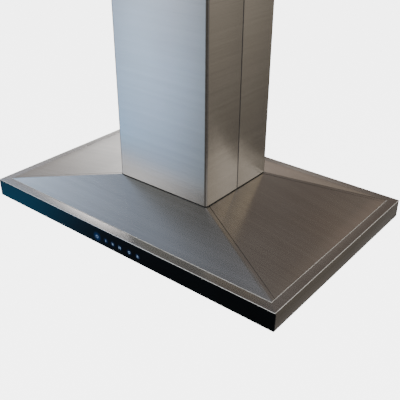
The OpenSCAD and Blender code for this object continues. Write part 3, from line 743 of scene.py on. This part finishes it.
# CAD nodes whose shape is right: each gets a copy with its edges rounded by this much
BEVELLED = {
    "ceiling_plate": 0.0006, "upper_uprights": 0.0003, "lower_uprights": 0.0003, "frame_brace": 0.0003,
    "chimney_screws": 0.0004, "frame_rivets": 0.0003, "clamp_bolts": 0.0004, "frame_screws": 0.0004,
    # The dark seat_gasket under the chimney's foot is painted shade in the gap there
    "top_frame": 0.0004, "seat_gasket": 0.0003, "control_housing": 0.0006, "lamp_housings": 0.0004,
    "blower_box": 0.0004, "motor": 0.0006, "motor_mount": 0.0004, "rubber_mounts": 0.0005,
    "capacitor": 0.0008, "outlet_collar": 0.0005, "damper_front": 0.0002, "damper_rear": 0.0002,
    "electronics_box": 0.0004, "electronics_lid": 0.0004, "terminal_block": 0.0004,
    "cable_gland": 0.0004, "touch_board": 0.0002,
}
for number in (1, 2, 3):
    BEVELLED[f"filter_frame_{number}"] = 0.0005
    BEVELLED[f"filter_latch_{number}"] = 0.0004
for node, width in BEVELLED.items():
    finished(node, width)
finished("underside_panel", 0.0003, 2, 30, [STEEL_TOP])
finished("power_board", 0.0002, 2, 30, *board_parts())

# The CAD nodes themselves show where nothing replaces them
for node, obj in frame["nodes"].items():
    obj.data.materials.clear()
    obj.data.materials.append(SLOT_MATERIALS[NODE_SLOT[node]])


# ---- Studio ----------------------------------------------------------------------------------

# Soft glows round the object: what each is for, azimuth and elevation of its middle in degrees
# (azimuth anticlockwise from the object's right, elevation up), its spread in degrees, and its colour
GLOWS = [
    ("cool window in the chimney's front", -140, -15, 6, (0.84, 1.16, 1.63)),
    ("the window's right part", -131, -19, 7, (0.54, 0.78, 1.20)),
    ("wall beside the window", -120, -20, 8, (0.20, 0.23, 0.20)),
    ("pale light at the chimney's foot", -131, 3, 7, (2.00, 2.02, 2.05)),
    ("pale light at its left end", -141, 3, 4, (1.50, 1.52, 1.60)),
    ("blue light on the glass's left end", -148, -28, 4, (0.06, 0.80, 1.60)),
    ("cool light on the front sheet", 175, 31, 9, (1.20, 1.74, 2.45)),
    ("grey light on the front sheet", 172, 39, 6, (0.35, 0.32, 0.34)),
    ("ceiling over the front sheet", 160, 59, 12, (0.26, 0.31, 0.40)),
    ("wall at the left", -153, 32, 11, (0.50, 0.52, 0.46)),
    ("light on the ledge's left end", 149, 25, 5, (0.46, 0.43, 0.44)),
    ("lamp on the front ledge", 140.9, 30.7, 2.0, (7.60, 7.50, 7.40)),
    ("bright doorway in the left sheet", 137, 9, 5, (2.60, 2.60, 2.60)),
    ("beside the doorway", 152, 8, 7, (0.34, 0.30, 0.26)),
    ("low light behind", 126, 0, 8, (0.60, 0.48, 0.40)),
    ("warm wall in the right sheet", 90, 44, 12, (0.02, 0.015, 0.012)),
    ("warm wall over the right ledge", 112, 47, 6, (0.11, 0.09, 0.075)),
    ("far corner of the right sheet", 95, 34, 5, (0.42, 0.32, 0.25)),
    ("light on the right ledge", 113, 28, 4, (0.36, 0.30, 0.26)),
    ("light on the rear ledge", 119.5, 26, 3, (0.80, 0.74, 0.68)),
    ("warm glow behind the rear ledge", 104, -7, 8, (0.40, 0.32, 0.24)),
    ("floor beside the rim's near end", 60, -41, 7, (0.075, 0.065, 0.055)),
    ("floor beside the rim's far end", 74, -26, 5, (0.03, 0.028, 0.025)),
    ("right-hand wall", 46, 9, 17, (0.56, 0.50, 0.41)),
    ("warm light by the chimney's foot", 70, 36, 5, (0.85, 0.70, 0.50)),
    ("pale light at the right face's foot", 54, 16, 8, (0.62, 0.60, 0.56)),
    ("low wall at the left", 180, -4, 14, (0.36, 0.42, 0.55)),
    ("lamp on the front edges", -124, 20, 5, (0.90, 0.90, 0.90)),
    ("room on the camera's side", -60, 50, 20, (0.85, 0.85, 0.85)),
    ("room at the right", -8, 24, 16, (0.75, 0.73, 0.71)),
    ("room in front", -92, 2, 8, (0.28, 0.28, 0.28)),
    ("low room at the right", 6, 2, 8, (0.26, 0.25, 0.24)),
    ("wall behind", 84, -6, 8, (0.46, 0.44, 0.41)),
    ("ceiling overhead", 50, 82, 14, (0.60, 0.60, 0.60)),
    ("floor behind", 101, -43, 10, (0.50, 0.48, 0.46)),
    ("floor at the left", 160, -42, 20, (0.50, 0.50, 0.52)),
    ("low wall behind", 128, -26, 9, (0.50, 0.48, 0.46)),
    ("floor below", -60, -85, 22, (0.70, 0.68, 0.66)),
]
# Light from every other direction
AMBIENT = (0.040, 0.034, 0.028)
# How bright the white floor and background are
WHITE = 4.5
FLOOR_Z = -1.9
# What the lights point at: the chimney's lower part, and the canopy
MIDDLE = (0, 0, -0.7)
CANOPY = (0, 0, -0.8)


def studio_world():
    """A world of soft glows, where the camera itself sees plain white."""
    world = bpy.data.worlds.new("studio")
    bpy.context.scene.world = world
    world.use_nodes = True
    tree = world.node_tree
    background = tree.nodes["Background"]
    coords = tree.nodes.new("ShaderNodeTexCoord")

    def maths(operation, a, b=None):
        """A math node's output, from the socket a and the number b."""
        node = tree.nodes.new("ShaderNodeMath")
        node.operation = operation
        tree.links.new(a, node.inputs[0])
        if b is not None:
            node.inputs[1].default_value = b
        return node.outputs[0]

    total = None
    for _, azimuth, elevation, spread, colour in GLOWS:
        a, e = math.radians(azimuth), math.radians(elevation)
        towards = tree.nodes.new("ShaderNodeVectorMath")
        towards.operation = "DOT_PRODUCT"
        towards.inputs[1].default_value = (math.cos(e) * math.cos(a), math.cos(e) * math.sin(a), math.sin(e))
        tree.links.new(coords.outputs["Generated"], towards.inputs[0])
        fall = maths("MULTIPLY", maths("SUBTRACT", towards.outputs["Value"], 1), math.radians(spread) ** -2)
        glow = tree.nodes.new("ShaderNodeVectorMath")
        glow.operation = "MULTIPLY_ADD"
        glow.inputs[1].default_value = colour
        glow.inputs[2].default_value = AMBIENT
        tree.links.new(maths("EXPONENT", fall), glow.inputs[0])
        if total is not None:
            tree.links.new(total, glow.inputs[2])
        total = glow.outputs["Vector"]
    paths = tree.nodes.new("ShaderNodeLightPath")
    seen = tree.nodes.new("ShaderNodeMix")
    seen.data_type = "RGBA"
    seen.inputs["B"].default_value = (WHITE, WHITE, WHITE, 1)
    tree.links.new(paths.outputs["Is Camera Ray"], seen.inputs["Factor"])
    tree.links.new(total, seen.inputs["A"])
    tree.links.new(seen.outputs["Result"], background.inputs["Color"])


def area_light(name, place, target, size, power, colour):
    """A soft light that points at target and shows in no reflection."""
    light = bpy.data.lights.new(name, "AREA")
    light.shape = "RECTANGLE"
    light.size, light.size_y = size
    light.energy = power
    light.color = colour
    obj = bpy.data.objects.new(name, light)
    bpy.context.scene.collection.objects.link(obj)
    obj.location = place
    obj.rotation_euler = (Vector(target) - Vector(place)).to_track_quat("-Z", "Y").to_euler()
    obj.visible_camera = False
    obj.visible_glossy = False
    return obj


def studio_floor():
    """A plain pale floor well below the hood."""
    bm = bmesh.new()
    reach = 30
    corners = ((-reach, -reach), (reach, -reach), (reach, reach), (-reach, reach))
    bm.faces.new(ring(bm, [(x, y, FLOOR_Z) for x, y in corners]))
    mesh = bpy.data.meshes.new("floor")
    bm.to_mesh(mesh)
    bm.free()
    floor = bpy.data.objects.new("floor", mesh)
    bpy.context.scene.collection.objects.link(floor)
    s = Shader("floor_paint")
    s.tint(s.spread(s.noise(2, 2), 0, 1), (0.88, 0.88, 0.88), (0.90, 0.90, 0.90))
    s.fixed(Roughness=0.9, Emission_Color=(1, 1, 1, 1), Emission_Strength=WHITE)
    mesh.materials.append(s.material)
    floor.visible_glossy = False
    floor.visible_diffuse = False


# The camera stands in front of the hood, to its right and above it, about 1.65 m from its middle
CAMERA_AZIMUTH = 38.98
CAMERA_ELEVATION = 29.25
CAMERA_ROLL = 0.23
CAMERA_PLACE = Vector((0.929, -1.1204, RIM_TOP + 0.782))
LENS = 55.64


def set_camera():
    """Creates the scene's camera."""
    data = bpy.data.cameras.new("camera")
    data.sensor_width = 36
    data.lens = LENS
    data.clip_start = 0.01
    camera = bpy.data.objects.new("camera", data)
    bpy.context.scene.collection.objects.link(camera)
    turn = Matrix.Rotation(math.radians(CAMERA_AZIMUTH), 4, "Z")
    tilt = Matrix.Rotation(math.radians(90 - CAMERA_ELEVATION), 4, "X")
    roll = Matrix.Rotation(math.radians(CAMERA_ROLL), 4, "Z")
    camera.matrix_world = Matrix.Translation(CAMERA_PLACE) @ turn @ tilt @ roll
    bpy.context.scene.camera = camera


set_camera()
studio_world()
studio_floor()
area_light("front_left_light", (-2.4, -2.6, 0.6), MIDDLE, (2.0, 1.6), 60, (0.92, 0.96, 1.0))
area_light("rear_right_light", (2.4, 2.4, 0.2), MIDDLE, (2.0, 1.6), 45, (1.0, 0.96, 0.92))
area_light("edge_light", (2.3, -2.5, -0.2), CANOPY, (1.6, 1.2), 74, (1.0, 0.99, 0.97))
area_light("low_light", (0.8, -0.8, -1.8), (0, 0, -0.85), (1.6, 1.6), 25, (1.0, 1.0, 1.0))
